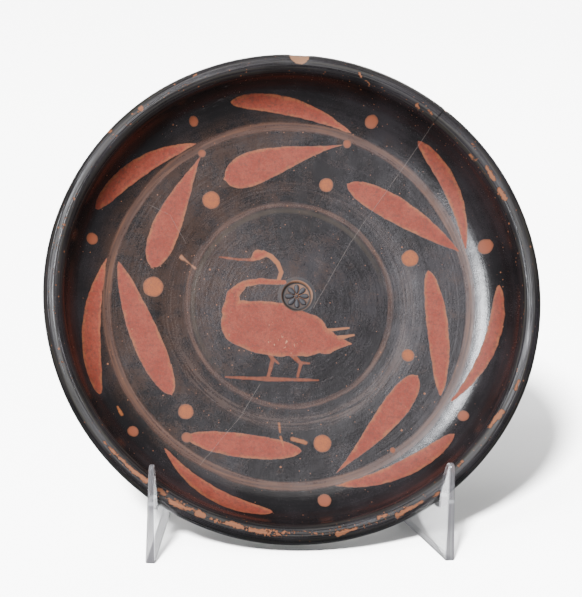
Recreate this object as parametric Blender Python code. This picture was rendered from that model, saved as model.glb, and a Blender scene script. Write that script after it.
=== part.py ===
"""A shallow footed plate of slipped clay, leaning in a one-piece clear acrylic easel.

The plate is one turned solid: a dish with an overhanging lip, on a short stem and a disc foot
that is hollow underneath. The easel is one sheet, cut to shape and bent twice, so that two wings
run forward from a low back strip. Each wing has an upright finger in front, a ledge that the lip
stands on, and a sloping bar that the dish leans back against.

Everything is in metres, +Z up. The floor is at z = 0 and the dish faces -Y.
"""

import math

import bmesh
import bpy
from mathutils import Matrix, Vector

MM = 0.001

# Plate: heights are measured up from the foot's base, depths down from the rim's crest
RIM_RADIUS = 78.0 * MM
PLATE_HEIGHT = 48.0 * MM
LIP_WIDTH = 6.0 * MM
LIP_CREST_INSET = 3.0 * MM
LIP_INNER_FALL = 2.0 * MM
LIP_ROUND_DEPTH = 3.5 * MM
LIP_FACE_DEPTH = 7.5 * MM
WALL = 4.8 * MM
FLOOR_RADIUS = 57.0 * MM
FLOOR_DEPTH = 16.0 * MM
FLOOR_DISH = 2.0 * MM
TONDO_RADIUS = 38.5 * MM
TONDO_STEP = 0.5 * MM
UNDERSIDE_DROP = 2.2 * MM
STEM_RADIUS = 14.0 * MM
STEM_FLARE = 11.0 * MM
FOOT_RADIUS = 30.0 * MM
FOOT_EDGE = 5.0 * MM
FOOT_RING = 5.5 * MM
FOOT_HOLLOW = 18.0 * MM
TURNED_STEPS = 64

# How the plate stands
LEAN = math.radians(22.2)
FLOOR_CLEARANCE = 2.6 * MM
TOUCH_GAP = 0.3 * MM

# Easel: spread is between the middles of the two front edges
SHEET = 3.0 * MM
EASEL_SPREAD = 91.8 * MM
EASEL_DEPTH = 98.5 * MM
TOE_IN = math.radians(8.0)
BEND_RADIUS = 7.0 * MM
FINGER_DEPTH = 8.3 * MM
FINGER_TIP = 3.4 * MM
FINGER_RISE = 16.0 * MM
FINGER_UPRIGHT = 8.0 * MM
BAR_WIDTH = 13.0 * MM
BAR_RISE = 14.0 * MM
STRIP_HEIGHT = 18.0 * MM
OUTSIDE_ROUND = 4.0 * MM
INSIDE_ROUND = 1.6 * MM
EDGE_POLISH = 0.35 * MM
BEND_STEPS = 8
ROUND_STEPS = 4

CLAY_SLIP = (0.020, 0.018, 0.018, 1.0)
ACRYLIC = (0.90, 0.91, 0.92, 1.0)


def clear_scene():
    """Take every object out of the open file."""
    for item in list(bpy.data.objects):
        bpy.data.objects.remove(item, do_unlink=True)


def sweep_between(start, pull, end, steps):
    """Points of a smooth curve from start to end, drawn towards pull, without its first point."""
    points = []
    for step in range(1, steps + 1):
        t = step / steps
        near = (1 - t) * (1 - t)
        middle = 2 * t * (1 - t)
        far = t * t
        points.append((near * start[0] + middle * pull[0] + far * end[0],
                       near * start[1] + middle * pull[1] + far * end[1]))
    return points


def dish_profile():
    """Inside of the dish from its centre out to the lip's inner edge, as (radius, height)."""
    floor_edge = PLATE_HEIGHT - FLOOR_DEPTH
    centre = floor_edge - FLOOR_DISH
    step_share = TONDO_RADIUS / FLOOR_RADIUS
    step_foot = centre + (FLOOR_DISH - TONDO_STEP) * step_share * step_share
    inner_edge = RIM_RADIUS - LIP_WIDTH
    corner_fall = LIP_INNER_FALL + LIP_INNER_FALL / 2
    points = [(0.0, centre)]
    for share in (0.35, 0.7, 0.9):
        points.append((TONDO_RADIUS * share, centre + (step_foot - centre) * share * share))
    points.append((TONDO_RADIUS - TONDO_STEP / 2, step_foot))
    points.append((TONDO_RADIUS + TONDO_STEP / 2, step_foot + TONDO_STEP))
    points.append((FLOOR_RADIUS, floor_edge))
    wall_top = (inner_edge - LIP_INNER_FALL / 4, PLATE_HEIGHT - corner_fall)
    wall_pull = (inner_edge - LIP_INNER_FALL, floor_edge)
    points += sweep_between((FLOOR_RADIUS, floor_edge), wall_pull, wall_top, 9)
    points.append((inner_edge, PLATE_HEIGHT - LIP_INNER_FALL))
    return points


def lip_profile():
    """The rounded lip, from its inner edge over the crest to the corner under its outer face."""
    crest = (RIM_RADIUS - LIP_CREST_INSET, PLATE_HEIGHT)
    inner = (RIM_RADIUS - LIP_WIDTH, PLATE_HEIGHT - LIP_INNER_FALL)
    widest = (RIM_RADIUS, PLATE_HEIGHT - LIP_ROUND_DEPTH)
    points = sweep_between(inner, (inner[0] + LIP_INNER_FALL / 2, PLATE_HEIGHT), crest, 3)
    points += sweep_between(crest, (RIM_RADIUS, PLATE_HEIGHT), widest, 5)
    face_fall = LIP_FACE_DEPTH - LIP_ROUND_DEPTH
    face_foot = (RIM_RADIUS - face_fall / 10, PLATE_HEIGHT - LIP_FACE_DEPTH)
    points.append(face_foot)
    points.append((face_foot[0] - face_fall / 8, face_foot[1] - face_fall / 10))
    return points


def underside_profile():
    """Outside of the dish, from under the lip in to the start of the stem's flare."""
    face_foot = PLATE_HEIGHT - LIP_FACE_DEPTH
    lip_root = (RIM_RADIUS - LIP_WIDTH + WALL * 0.7, face_foot - WALL * 0.25)
    floor_edge = PLATE_HEIGHT - FLOOR_DEPTH - WALL
    wall_foot = (FLOOR_RADIUS, floor_edge)
    wall_pull = (RIM_RADIUS - LIP_WIDTH + WALL / 5, floor_edge)
    flare_start = (STEM_RADIUS + STEM_FLARE, floor_edge - UNDERSIDE_DROP)
    points = [lip_root]
    points += sweep_between(lip_root, wall_pull, wall_foot, 7)
    middle_share = 0.5
    middle = (wall_foot[0] + (flare_start[0] - wall_foot[0]) * middle_share,
              wall_foot[1] - UNDERSIDE_DROP * middle_share * middle_share)
    points.append(middle)
    points.append(flare_start)
    return points


def foot_profile():
    """Stem and foot, from the flare under the dish down, round the foot's edge and up its hollow."""
    flare_top = PLATE_HEIGHT - FLOOR_DEPTH - WALL - UNDERSIDE_DROP
    waist = (flare_top + FOOT_EDGE) / 2
    foot_slope = FOOT_EDGE / 4
    foot_top = (FOOT_RADIUS - FOOT_EDGE / 4, FOOT_EDGE)
    spread_top = (foot_top[0] - FOOT_RING / 2, FOOT_EDGE + foot_slope / 2)
    ring_inner = FOOT_RADIUS - FOOT_RING
    edge_round = FOOT_EDGE / 6
    points = sweep_between((STEM_RADIUS + STEM_FLARE, flare_top), (STEM_RADIUS, flare_top),
                           (STEM_RADIUS, waist), 5)
    points += sweep_between((STEM_RADIUS, waist), (STEM_RADIUS, FOOT_EDGE + foot_slope),
                            spread_top, 5)
    points.append(foot_top)
    points.append((FOOT_RADIUS, FOOT_EDGE - foot_slope))
    points.append((FOOT_RADIUS, edge_round))
    points.append((FOOT_RADIUS - edge_round, 0.0))
    points.append((ring_inner, 0.0))
    hollow_top = (STEM_RADIUS / 2, FOOT_HOLLOW - FOOT_EDGE / 3)
    points += sweep_between((ring_inner, 0.0), (STEM_RADIUS / 2, FOOT_EDGE), hollow_top, 6)
    points.append((STEM_RADIUS / 4, FOOT_HOLLOW))
    points.append((0.0, FOOT_HOLLOW))
    return points


def from_rim(point):
    """A profile point as (radius, depth below the rim's crest)."""
    return point[0], PLATE_HEIGHT - point[1]


def depth_at(points, offset):
    """Depth below the crest where a profile that runs inwards passes this radius."""
    for outer, inner in zip(points, points[1:]):
        if outer[0] >= offset > inner[0]:
            share = (outer[0] - offset) / (outer[0] - inner[0])
            return PLATE_HEIGHT - outer[1] - share * (inner[1] - outer[1])
    return PLATE_HEIGHT - points[-1][1]


def section_at(points, offset):
    """Where the plate's lower half crosses an upright plane, offset sideways from its middle.

    Gives (y, z) from the middle of the rim's circle, with the dish already leaning back.
    """
    crossing = []
    for radius, depth in map(from_rim, points):
        if radius > offset:
            drop = math.sqrt(radius * radius - offset * offset)
            crossing.append((depth * math.cos(LEAN) - drop * math.sin(LEAN),
                             -depth * math.sin(LEAN) - drop * math.cos(LEAN)))
    return crossing


# Plan of the easel: a wing's middle line starts at its front edge and turns into the back strip
HALF_SPREAD = EASEL_SPREAD / 2
WING_START = SHEET / 2 * math.sin(TOE_IN)
BEND_TURN = math.pi / 2 - TOE_IN
BEND_LENGTH = BEND_RADIUS * BEND_TURN
BEND_START_Y = EASEL_DEPTH - SHEET / 2 - BEND_RADIUS * (1 - math.sin(TOE_IN))
WING_LENGTH = (BEND_START_Y - WING_START) / math.cos(TOE_IN)
BEND_START_X = HALF_SPREAD - WING_LENGTH * math.sin(TOE_IN)
STRIP_HALF = BEND_START_X - BEND_RADIUS * math.cos(TOE_IN)
HALF_LENGTH = WING_LENGTH + BEND_LENGTH + STRIP_HALF


def inner_face_x(along):
    """How far a wing's inner face is from the middle, this far along the wing."""
    return HALF_SPREAD - along * math.sin(TOE_IN) - SHEET / 2 * math.cos(TOE_IN)


def bent_sheet_point(along, height, offset):
    """A point of the flat sheet, carried to its place in the bent one.

    along runs from one front edge round to the other, and offset is inward from the middle layer.
    """
    mirrored = along > HALF_LENGTH
    run = 2 * HALF_LENGTH - along if mirrored else along
    if run <= WING_LENGTH:
        heading = TOE_IN
        x = HALF_SPREAD - run * math.sin(TOE_IN)
        y = WING_START + run * math.cos(TOE_IN)
    elif run <= WING_LENGTH + BEND_LENGTH:
        heading = TOE_IN + (run - WING_LENGTH) / BEND_RADIUS
        x = STRIP_HALF + BEND_RADIUS * math.cos(heading)
        y = BEND_START_Y - BEND_RADIUS * math.sin(TOE_IN) + BEND_RADIUS * math.sin(heading)
    else:
        heading = math.pi / 2
        x = HALF_LENGTH - run
        y = EASEL_DEPTH - SHEET / 2
    x -= offset * math.cos(heading)
    y -= offset * math.sin(heading)
    return Vector((-x if mirrored else x, y, height))


# Where the plate sits on the easel
LIP = lip_profile()
LIP_SECTION = section_at(LIP, inner_face_x(FINGER_DEPTH))
LIP_FRONT = min(y for y, z in LIP_SECTION)
LIP_BOTTOM = min(z for y, z in LIP_SECTION)
RIM_LOWEST = min(z for y, z in section_at(LIP, 0.0))
RIM_CENTRE_Y = WING_START + FINGER_DEPTH + TOUCH_GAP - LIP_FRONT
RIM_CENTRE_Z = FLOOR_CLEARANCE - RIM_LOWEST
LEDGE_HEIGHT = RIM_CENTRE_Z + LIP_BOTTOM - TOUCH_GAP
DISH_BACK = depth_at(underside_profile(), inner_face_x(WING_LENGTH))


def bar_front(height):
    """How far along the wing the sloping bar's front edge is, at this height."""
    depth = DISH_BACK + TOUCH_GAP
    y = RIM_CENTRE_Y + (depth + (height - RIM_CENTRE_Z) * math.sin(LEAN)) / math.cos(LEAN)
    return (y - WING_START) / math.cos(TOE_IN)


def wing_outline():
    """One half of the flat sheet as (along, height, corner radius), from the front round to the top."""
    finger_top = LEDGE_HEIGHT + FINGER_RISE
    bar_top = RIM_CENTRE_Z + BAR_RISE
    bar_run = bar_front(bar_top) - bar_front(LEDGE_HEIGHT)
    bar_climb = bar_top - LEDGE_HEIGHT
    bar_length = math.hypot(bar_run, bar_climb)
    slope = (bar_run / bar_length, bar_climb / bar_length)
    back_top = (bar_front(bar_top) + BAR_WIDTH * slope[1], bar_top - BAR_WIDTH * slope[0])
    back_foot = back_top[0] - slope[0] / slope[1] * (back_top[1] - STRIP_HEIGHT)
    return [
        (0.0, 0.0, EDGE_POLISH),
        (0.0, finger_top, FINGER_TIP / 2.2),
        (FINGER_TIP, finger_top, FINGER_TIP / 2.2),
        (FINGER_DEPTH, LEDGE_HEIGHT + FINGER_UPRIGHT, OUTSIDE_ROUND),
        (FINGER_DEPTH, LEDGE_HEIGHT, INSIDE_ROUND),
        (bar_front(LEDGE_HEIGHT), LEDGE_HEIGHT, OUTSIDE_ROUND),
        (bar_front(bar_top), bar_top, OUTSIDE_ROUND),
        (back_top[0], back_top[1], OUTSIDE_ROUND),
        (back_foot, STRIP_HEIGHT, OUTSIDE_ROUND),
    ]


def make_material(name, colour, roughness, transmission=0.0):
    """A plain shader with one colour."""
    material = bpy.data.materials.new(name)
    material.use_nodes = True
    shader = material.node_tree.nodes["Principled BSDF"]
    shader.inputs["Base Color"].default_value = colour
    shader.inputs["Roughness"].default_value = roughness
    shader.inputs["Metallic"].default_value = 0.0
    shader.inputs["Transmission Weight"].default_value = transmission
    return material


def add_object(name, mesh_source, material, parent):
    """Turn a bmesh into a named object under the frame's empty."""
    mesh = bpy.data.meshes.new(name)
    mesh_source.to_mesh(mesh)
    mesh_source.free()
    mesh.materials.append(material)
    piece = bpy.data.objects.new(name, mesh)
    bpy.context.scene.collection.objects.link(piece)
    piece.parent = parent
    return piece


def turn_profile(points, steps):
    """Spin a closed profile once round the Z axis and close its two ends on the axis."""
    turned = bmesh.new()
    corners = [turned.verts.new((radius, 0.0, height)) for radius, height in points]
    rim = [turned.edges.new(pair) for pair in zip(corners, corners[1:])]
    bmesh.ops.spin(turned, geom=corners + rim, cent=(0, 0, 0), axis=(0, 0, 1),
                   angle=2 * math.pi, steps=steps, use_merge=True)
    bmesh.ops.remove_doubles(turned, verts=turned.verts, dist=0.01 * MM)
    bmesh.ops.recalc_face_normals(turned, faces=turned.faces)
    return turned


def build_plate(parent):
    """The whole clay vessel, turned about its own axis and leaned back into the easel."""
    profile = dish_profile() + LIP + underside_profile() + foot_profile()
    slip = make_material("black_slip", CLAY_SLIP, 0.3)
    plate = add_object("plate", turn_profile(profile, TURNED_STEPS), slip, parent)
    plate.data.shade_smooth()
    plate.data.set_sharp_from_angle(angle=math.radians(38))
    lean_back = Matrix.Rotation(math.pi / 2 - LEAN, 4, "X")
    rim_centre = Matrix.Translation((0.0, RIM_CENTRE_Y, RIM_CENTRE_Z))
    plate.matrix_local = rim_centre @ lean_back @ Matrix.Translation((0, 0, -PLATE_HEIGHT))
    return plate


def cut_flat_sheet():
    """The easel's flat shape as one upright face, with every corner rounded."""
    half = wing_outline()
    mirrored = [(2 * HALF_LENGTH - along, height, corner) for along, height, corner in reversed(half)]
    flat = bmesh.new()
    outline = half + mirrored
    corners = [flat.verts.new((along, 0.0, height)) for along, height, _ in outline]
    flat.faces.new(corners)
    radii = sorted({corner for _, _, corner in outline})
    for radius in radii:
        picked = [vert for vert, spec in zip(corners, outline) if spec[2] == radius]
        bmesh.ops.bevel(flat, geom=picked, offset=radius, offset_type="OFFSET", segments=ROUND_STEPS,
                        profile=0.5, affect="VERTICES", material=-1)
    for start in (WING_LENGTH, 2 * HALF_LENGTH - WING_LENGTH - BEND_LENGTH):
        for step in range(BEND_STEPS + 1):
            place = (start + BEND_LENGTH * step / BEND_STEPS, 0, 0)
            everything = list(flat.verts) + list(flat.edges) + list(flat.faces)
            bmesh.ops.bisect_plane(flat, geom=everything, plane_co=place, plane_no=(1, 0, 0))
    return flat


def build_easel(parent):
    """One acrylic sheet, cut flat, given its thickness and bent at two places."""
    sheet = cut_flat_sheet()
    for vert in sheet.verts:
        vert.co.y = -SHEET / 2
    grown = bmesh.ops.extrude_face_region(sheet, geom=list(sheet.faces))
    moved = [item for item in grown["geom"] if isinstance(item, bmesh.types.BMVert)]
    bmesh.ops.translate(sheet, verts=moved, vec=(0.0, SHEET, 0.0))
    bmesh.ops.recalc_face_normals(sheet, faces=sheet.faces)
    for vert in sheet.verts:
        vert.co = bent_sheet_point(vert.co.x, vert.co.z, vert.co.y)
    acrylic = make_material("clear_acrylic", ACRYLIC, 0.05, transmission=1.0)
    easel = add_object("display_stand", sheet, acrylic, parent)
    easel.data.shade_smooth()
    easel.data.set_sharp_from_angle(angle=math.radians(30))
    polish = easel.modifiers.new("polished_edges", "BEVEL")
    polish.width = EDGE_POLISH
    polish.segments = 2
    polish.limit_method = "ANGLE"
    polish.angle_limit = math.radians(50)
    return easel


def build():
    """The object, with its origin on the floor under the middle of its box."""
    clear_scene()
    frame = bpy.data.objects.new("frame", None)
    bpy.context.scene.collection.objects.link(frame)
    frame.location = (0.0, -EASEL_DEPTH / 2, 0.0)
    build_plate(frame)
    build_easel(frame)


build()
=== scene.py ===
# %% [markdown]
# A footed plate of slipped clay, leaning in a clear easel.
# The frame below is the finished CAD model: its two nodes, "plate" and "display_stand", are already
# at their real size and place. This lesson dresses them: each gets a finer mesh that stands for it,
# and materials that are worked out from formulas, so no picture is loaded.

# %% Load the frame
import math

import bmesh
import bpy
from mathutils import Matrix, Vector, noise


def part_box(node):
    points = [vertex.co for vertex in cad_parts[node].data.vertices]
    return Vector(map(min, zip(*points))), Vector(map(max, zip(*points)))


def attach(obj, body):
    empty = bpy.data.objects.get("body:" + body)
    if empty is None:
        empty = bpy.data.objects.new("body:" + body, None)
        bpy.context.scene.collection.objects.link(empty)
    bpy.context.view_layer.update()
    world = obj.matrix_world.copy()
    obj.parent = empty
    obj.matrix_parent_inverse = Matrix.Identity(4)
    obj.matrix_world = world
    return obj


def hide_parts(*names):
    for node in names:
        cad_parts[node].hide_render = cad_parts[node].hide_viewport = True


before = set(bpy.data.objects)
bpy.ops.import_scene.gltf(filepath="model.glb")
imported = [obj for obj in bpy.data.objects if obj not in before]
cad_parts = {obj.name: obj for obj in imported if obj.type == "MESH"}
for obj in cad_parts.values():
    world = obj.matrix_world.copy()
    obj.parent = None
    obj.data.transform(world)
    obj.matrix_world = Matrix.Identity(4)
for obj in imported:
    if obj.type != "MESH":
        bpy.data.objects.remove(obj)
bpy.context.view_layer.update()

MM = 0.001

# %% [markdown]
# The camera comes first.
# It looks slightly down and slightly from the left, from about 0.8 m, through a long lens. It is
# built from an azimuth, an elevation, a distance and a roll, as a photographer would describe it.

# %% Camera
VIEW_AZIMUTH = -6.0
VIEW_ELEVATION = 10.65
VIEW_ROLL = math.radians(1.13)
VIEW_DISTANCE = 811.5 * MM
VIEW_LENS = 163.8
SENSOR_WIDTH = 36.0
VIEW_TARGET = Vector((-4.63, -49.25, 81.81)) * MM


def direction_of(azimuth, elevation):
    """The direction, seen from the plate, of this azimuth and elevation in degrees."""
    azimuth, elevation = math.radians(azimuth), math.radians(elevation)
    level = math.cos(elevation)
    return Vector((math.sin(azimuth) * level, -math.cos(azimuth) * level, math.sin(elevation)))


def looking_back(place, direction):
    """The matrix that puts a camera or a lamp at a place and turns it back along a direction."""
    return Matrix.Translation(place) @ direction.to_track_quat("Z", "Y").to_matrix().to_4x4()


towards_camera = direction_of(VIEW_AZIMUTH, VIEW_ELEVATION)
camera_data = bpy.data.cameras.new("camera")
camera_data.lens = VIEW_LENS
camera_data.sensor_width = SENSOR_WIDTH
camera = bpy.data.objects.new("camera", camera_data)
camera.matrix_world = (looking_back(VIEW_TARGET + towards_camera * VIEW_DISTANCE, towards_camera)
                       @ Matrix.Rotation(VIEW_ROLL, 4, "Z"))
bpy.context.scene.collection.objects.link(camera)
bpy.context.scene.camera = camera
print("camera at", [round(value, 3) for value in camera.matrix_world.translation])

# %% [markdown]
# The plate stands on a sheet of pale paper so wide that it fills the picture from any side, and
# nothing stands behind the plate to hide its back. The plate doesn't mirror the paper or gather its
# light, as if black card were held beside it, and that keeps the black slip black.

# %% Paper
PAPER_HALF_SIZE = 9.0
PAPER_CELLS = 8


def add_piece(name, source):
    """Turn a bmesh into an object at the origin, in the scene's collection."""
    mesh = bpy.data.meshes.new(name)
    source.to_mesh(mesh)
    source.free()
    piece = bpy.data.objects.new(name, mesh)
    bpy.context.scene.collection.objects.link(piece)
    return piece


sheet = bmesh.new()
bmesh.ops.create_grid(sheet, x_segments=PAPER_CELLS, y_segments=PAPER_CELLS, size=PAPER_HALF_SIZE)
paper = add_piece("paper", sheet)
paper.visible_glossy = False
paper.visible_diffuse = False
print("paper faces:", len(paper.data.polygons))

# %% [markdown]
# Soft studio light from large panels, because the photograph's shadows are soft. A window-like
# panel at the left gives the long highlight on the dish's right wall, a broad one in front and
# above fills the dish, a weak one higher up brings out the lower wall, and one behind shows the
# foot. The paper has two wide sun lights of its own, so that it comes out white to its edges: one
# casts the soft shadow at the right, and the other, from the side, keeps that shadow light.
# In the tables, the first pair is each light's azimuth and elevation in degrees.

# %% Lights
SKY_COLOUR = (0.93, 0.96, 1.0, 1.0)
SKY_STRENGTH = 0.25
LAMP_TARGET = Vector((0.0, 0.0, 0.07))
SUN_AWAY = 2.0
PANELS = {
    "window_light": ((-26, 38), 1.35, (0.27, 0.54), 35.0, (0.96, 0.99, 1.03)),
    "front_fill": ((-13, 36), 1.60, (0.66, 0.65), 6.0, (1.0, 0.93, 1.0)),
    "top_fill": ((8, 50), 1.60, (0.70, 0.45), 1.7, (1.05, 0.98, 0.94)),
    "back_fill": ((158, 38), 1.50, (1.00, 0.80), 9.0, (1.0, 0.99, 0.97)),
}
PAPER_SUNS = {
    "paper_sun": ((-17, 29), 56.0, 6.0),
    "paper_fill": ((-60, 55), 2.4, 45.0),
}


def add_lamp(name, data, towards, away):
    """A light that faces the plate, placed by its azimuth, elevation and distance."""
    direction = direction_of(*towards)
    lamp = bpy.data.objects.new(name, data)
    lamp.matrix_world = looking_back(LAMP_TARGET + direction * away, direction)
    bpy.context.scene.collection.objects.link(lamp)
    return lamp


def add_panel(name, towards, away, size, power, tint):
    """A rectangular soft light, its distance and sides in metres and its power in watts."""
    panel = bpy.data.lights.new(name, "AREA")
    panel.shape = "RECTANGLE"
    panel.size, panel.size_y = size
    panel.energy = power
    panel.color = tint
    return add_lamp(name, panel, towards, away)


def add_paper_sun(name, towards, strength, spread):
    """An even light that reaches only the paper, and whose spread in degrees softens shadows."""
    sun = bpy.data.lights.new(name, "SUN")
    sun.energy = strength
    sun.angle = math.radians(spread)
    lamp = add_lamp(name, sun, towards, SUN_AWAY)
    lamp.light_linking.receiver_collection = paper_only
    return lamp


paper_only = bpy.data.collections.new("paper_only")
paper_only.objects.link(paper)
lamps = [add_panel(name, *panel) for name, panel in PANELS.items()]
lamps += [add_paper_sun(name, *sun) for name, sun in PAPER_SUNS.items()]
sky = bpy.data.worlds.new("sky")
sky.use_nodes = True
sky.node_tree.nodes["Background"].inputs["Color"].default_value = SKY_COLOUR
sky.node_tree.nodes["Background"].inputs["Strength"].default_value = SKY_STRENGTH
bpy.context.scene.world = sky
print("lights:", [lamp.name for lamp in lamps])

# %% [markdown]
# The plate was thrown on a wheel, so its shape is one profile turned round an axis.
# These are the potter's sizes in millimetres: heights above the foot's base, radii from the axis.
# They repeat the CAD part's own values, and more points are taken along each curve, so that the
# soft highlight on the wall runs smoothly. Each curve is drawn from its start towards a point that
# pulls it and on to its end, and a straight is a curve that nothing pulls aside.

# %% Sizes of the plate
RIM_RADIUS = 78.0
PLATE_HEIGHT = 48.0
LIP_WIDTH = 6.0
LIP_CREST_INSET = 3.0
LIP_INNER_FALL = 2.0
LIP_ROUND_DEPTH = 3.5
LIP_FACE_DEPTH = 7.5
WALL = 4.8
FLOOR_RADIUS = 57.0
FLOOR_DEPTH = 16.0
FLOOR_DISH = 2.0
TONDO_RADIUS = 38.5
TONDO_STEP = 0.5
UNDERSIDE_DROP = 2.2
STEM_RADIUS = 14.0
STEM_FLARE = 11.0
FOOT_RADIUS = 30.0
FOOT_EDGE = 5.0
FOOT_RING = 5.5
FOOT_HOLLOW = 18.0
LEAN = math.radians(22.2)


def at(radius, height):
    """A point of the profile."""
    return Vector((radius, height))


def follow(start, *curves):
    """Points along curves that join, each given by its pull (None if straight), end and steps."""
    points = []
    for pull, end, steps in curves:
        if pull is None:
            pull = (start + end) / 2
        for step in range(1, steps + 1):
            share = step / steps
            rest = 1 - share
            points.append(start * rest ** 2 + pull * 2 * share * rest + end * share ** 2)
        start = end
    return points


print("plate:", 2 * RIM_RADIUS, "mm across,", PLATE_HEIGHT, "mm high,",
      "leaning", round(math.degrees(LEAN), 1), "degrees")

# %% [markdown]
# Inside the dish the profile runs from the axis over a gently hollow floor and then up the wall.
# The centre field lies half a millimetre lower than the rest of the floor. Its turned step is worn
# so soft that it only shows as a change of gloss, so the rise is spread over a wide band. Near the
# axis the rings lie close together, because the stamped rosette is modelled there.

# %% Profile of the dish and the lip
STAMP_ZONE = 9.0
STAMP_RING = 0.2
STEP_SOFTNESS = 14.0
FLOOR_CURVE = 3.2
FLOOR_RINGS = 38
WALL_RINGS = 22
WALL_START_RISE = 1.1


def floor_rise(radius):
    """How far the floor has risen at this radius: hardly in the middle, then over the worn step."""
    share = min(1.0, max(0.0, (radius - TONDO_RADIUS) / STEP_SOFTNESS + 0.5))
    hollow = (FLOOR_DISH - TONDO_STEP) * (radius / FLOOR_RADIUS) ** FLOOR_CURVE
    return hollow + TONDO_STEP * share * share * (3 - 2 * share)


def dish_profile():
    """Inside of the dish from its centre to the lip's inner edge."""
    floor_edge = PLATE_HEIGHT - FLOOR_DEPTH
    centre = floor_edge - FLOOR_DISH
    radii = [STAMP_RING * step for step in range(int(STAMP_ZONE / STAMP_RING) + 1)]
    ring_gap = (FLOOR_RADIUS - STAMP_ZONE) / FLOOR_RINGS
    radii += [STAMP_ZONE + ring_gap * step for step in range(1, FLOOR_RINGS + 1)]
    points = [at(radius, centre + floor_rise(radius)) for radius in radii]
    inner_edge = RIM_RADIUS - LIP_WIDTH
    wall_pull = at(inner_edge - LIP_INNER_FALL, floor_edge + WALL_START_RISE)
    wall_top = at(inner_edge - LIP_INNER_FALL / 4, PLATE_HEIGHT - LIP_INNER_FALL * 1.5)
    points += follow(points[-1], (wall_pull, wall_top, WALL_RINGS))
    points.append(at(inner_edge, PLATE_HEIGHT - LIP_INNER_FALL))
    return points


def lip_profile():
    """The rounded lip, over its crest and down its outer face."""
    inner = at(RIM_RADIUS - LIP_WIDTH, PLATE_HEIGHT - LIP_INNER_FALL)
    crest = at(RIM_RADIUS - LIP_CREST_INSET, PLATE_HEIGHT)
    widest = at(RIM_RADIUS, PLATE_HEIGHT - LIP_ROUND_DEPTH)
    face_fall = LIP_FACE_DEPTH - LIP_ROUND_DEPTH
    face_foot = at(RIM_RADIUS - face_fall / 10, PLATE_HEIGHT - LIP_FACE_DEPTH)
    corner = face_foot - at(face_fall / 8, face_fall / 10)
    return follow(
        inner, (at(inner.x + LIP_INNER_FALL / 2, PLATE_HEIGHT), crest, 7),
        (at(RIM_RADIUS, PLATE_HEIGHT), widest, 10), (None, face_foot, 4), (None, corner, 1))


upper_profile = dish_profile() + lip_profile()
print("points inside and over the lip:", len(upper_profile))

# %% [markdown]
# Under the lip the profile turns back along the underside, flares into the stem, spreads into the
# foot's disc and goes up into the hollow beneath it. The photograph doesn't show this side, so it
# follows other plates of this kind.

# %% Profile of the underside, stem and foot


def underside_profile():
    """Outside of the dish from under the lip to the start of the stem's flare."""
    inner_edge = RIM_RADIUS - LIP_WIDTH
    under_floor = PLATE_HEIGHT - FLOOR_DEPTH - WALL
    lip_root = at(inner_edge + WALL * 0.7, PLATE_HEIGHT - LIP_FACE_DEPTH - WALL / 4)
    flare_start = at(STEM_RADIUS + STEM_FLARE, under_floor - UNDERSIDE_DROP)
    return [lip_root] + follow(
        lip_root, (at(inner_edge + WALL / 5, under_floor), at(FLOOR_RADIUS, under_floor), 14),
        (at((FLOOR_RADIUS + flare_start.x) / 2, under_floor), flare_start, 8))


def foot_profile():
    """Stem and foot, round the foot's edge and up into its hollow, to the axis."""
    flare_top = PLATE_HEIGHT - FLOOR_DEPTH - WALL - UNDERSIDE_DROP
    slope = FOOT_EDGE / 4
    rounding = FOOT_EDGE / 6
    hollow_radius = STEM_RADIUS / 2
    foot_top = at(FOOT_RADIUS - slope, FOOT_EDGE)
    return follow(
        at(STEM_RADIUS + STEM_FLARE, flare_top),
        (at(STEM_RADIUS, flare_top), at(STEM_RADIUS, (flare_top + FOOT_EDGE) / 2), 10),
        (at(STEM_RADIUS, FOOT_EDGE + slope), foot_top + at(-FOOT_RING / 2, slope / 2), 10),
        (None, foot_top, 1),
        (at(FOOT_RADIUS, FOOT_EDGE), at(FOOT_RADIUS, FOOT_EDGE - slope), 3),
        (None, at(FOOT_RADIUS, rounding), 1),
        (at(FOOT_RADIUS, 0.0), at(FOOT_RADIUS - rounding, 0.0), 3),
        (None, at(FOOT_RADIUS - FOOT_RING, 0.0), 2),
        (at(hollow_radius, FOOT_EDGE), at(hollow_radius, FOOT_HOLLOW - FOOT_EDGE / 3), 12),
        (at(hollow_radius, FOOT_HOLLOW), at(0.0, FOOT_HOLLOW), 5))


lower_profile = underside_profile() + foot_profile()
print("points outside:", len(lower_profile))

# %% [markdown]
# bmesh's spin turns the profile. With use_merge the last turn closes on the first, and the doubled
# points on the axis are merged afterwards. Normals are worked out again once the shell is closed,
# since a spin can leave them facing in.

# %% Turn the clay
TURNED_STEPS = 400
MERGE_GAP = 0.0005


def turn_profile(points):
    """Spin a closed profile once round the Z axis, in millimetres."""
    turned = bmesh.new()
    corners = [turned.verts.new((point.x, 0.0, point.y)) for point in points]
    line = [turned.edges.new(pair) for pair in zip(corners, corners[1:])]
    bmesh.ops.spin(turned, geom=corners + line, cent=(0, 0, 0), axis=(0, 0, 1),
                   angle=2 * math.pi, steps=TURNED_STEPS, use_merge=True)
    bmesh.ops.remove_doubles(turned, verts=turned.verts, dist=MERGE_GAP)
    bmesh.ops.recalc_face_normals(turned, faces=turned.faces)
    return turned


clay = turn_profile(upper_profile + lower_profile)
print("turned faces:", len(clay.faces), "open edges:", sum(edge.is_boundary for edge in clay.edges))

# %% [markdown]
# The rosette in the centre field was pressed into the leather-hard clay with a small round stamp.
# It is real relief: a pressed disc with a raised ring and eight petals round a boss. The vertices
# under the stamp are moved down and up by the function below, and the petals' height is kept as an
# attribute, which the material reads to leave the slip dark on them.

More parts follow.
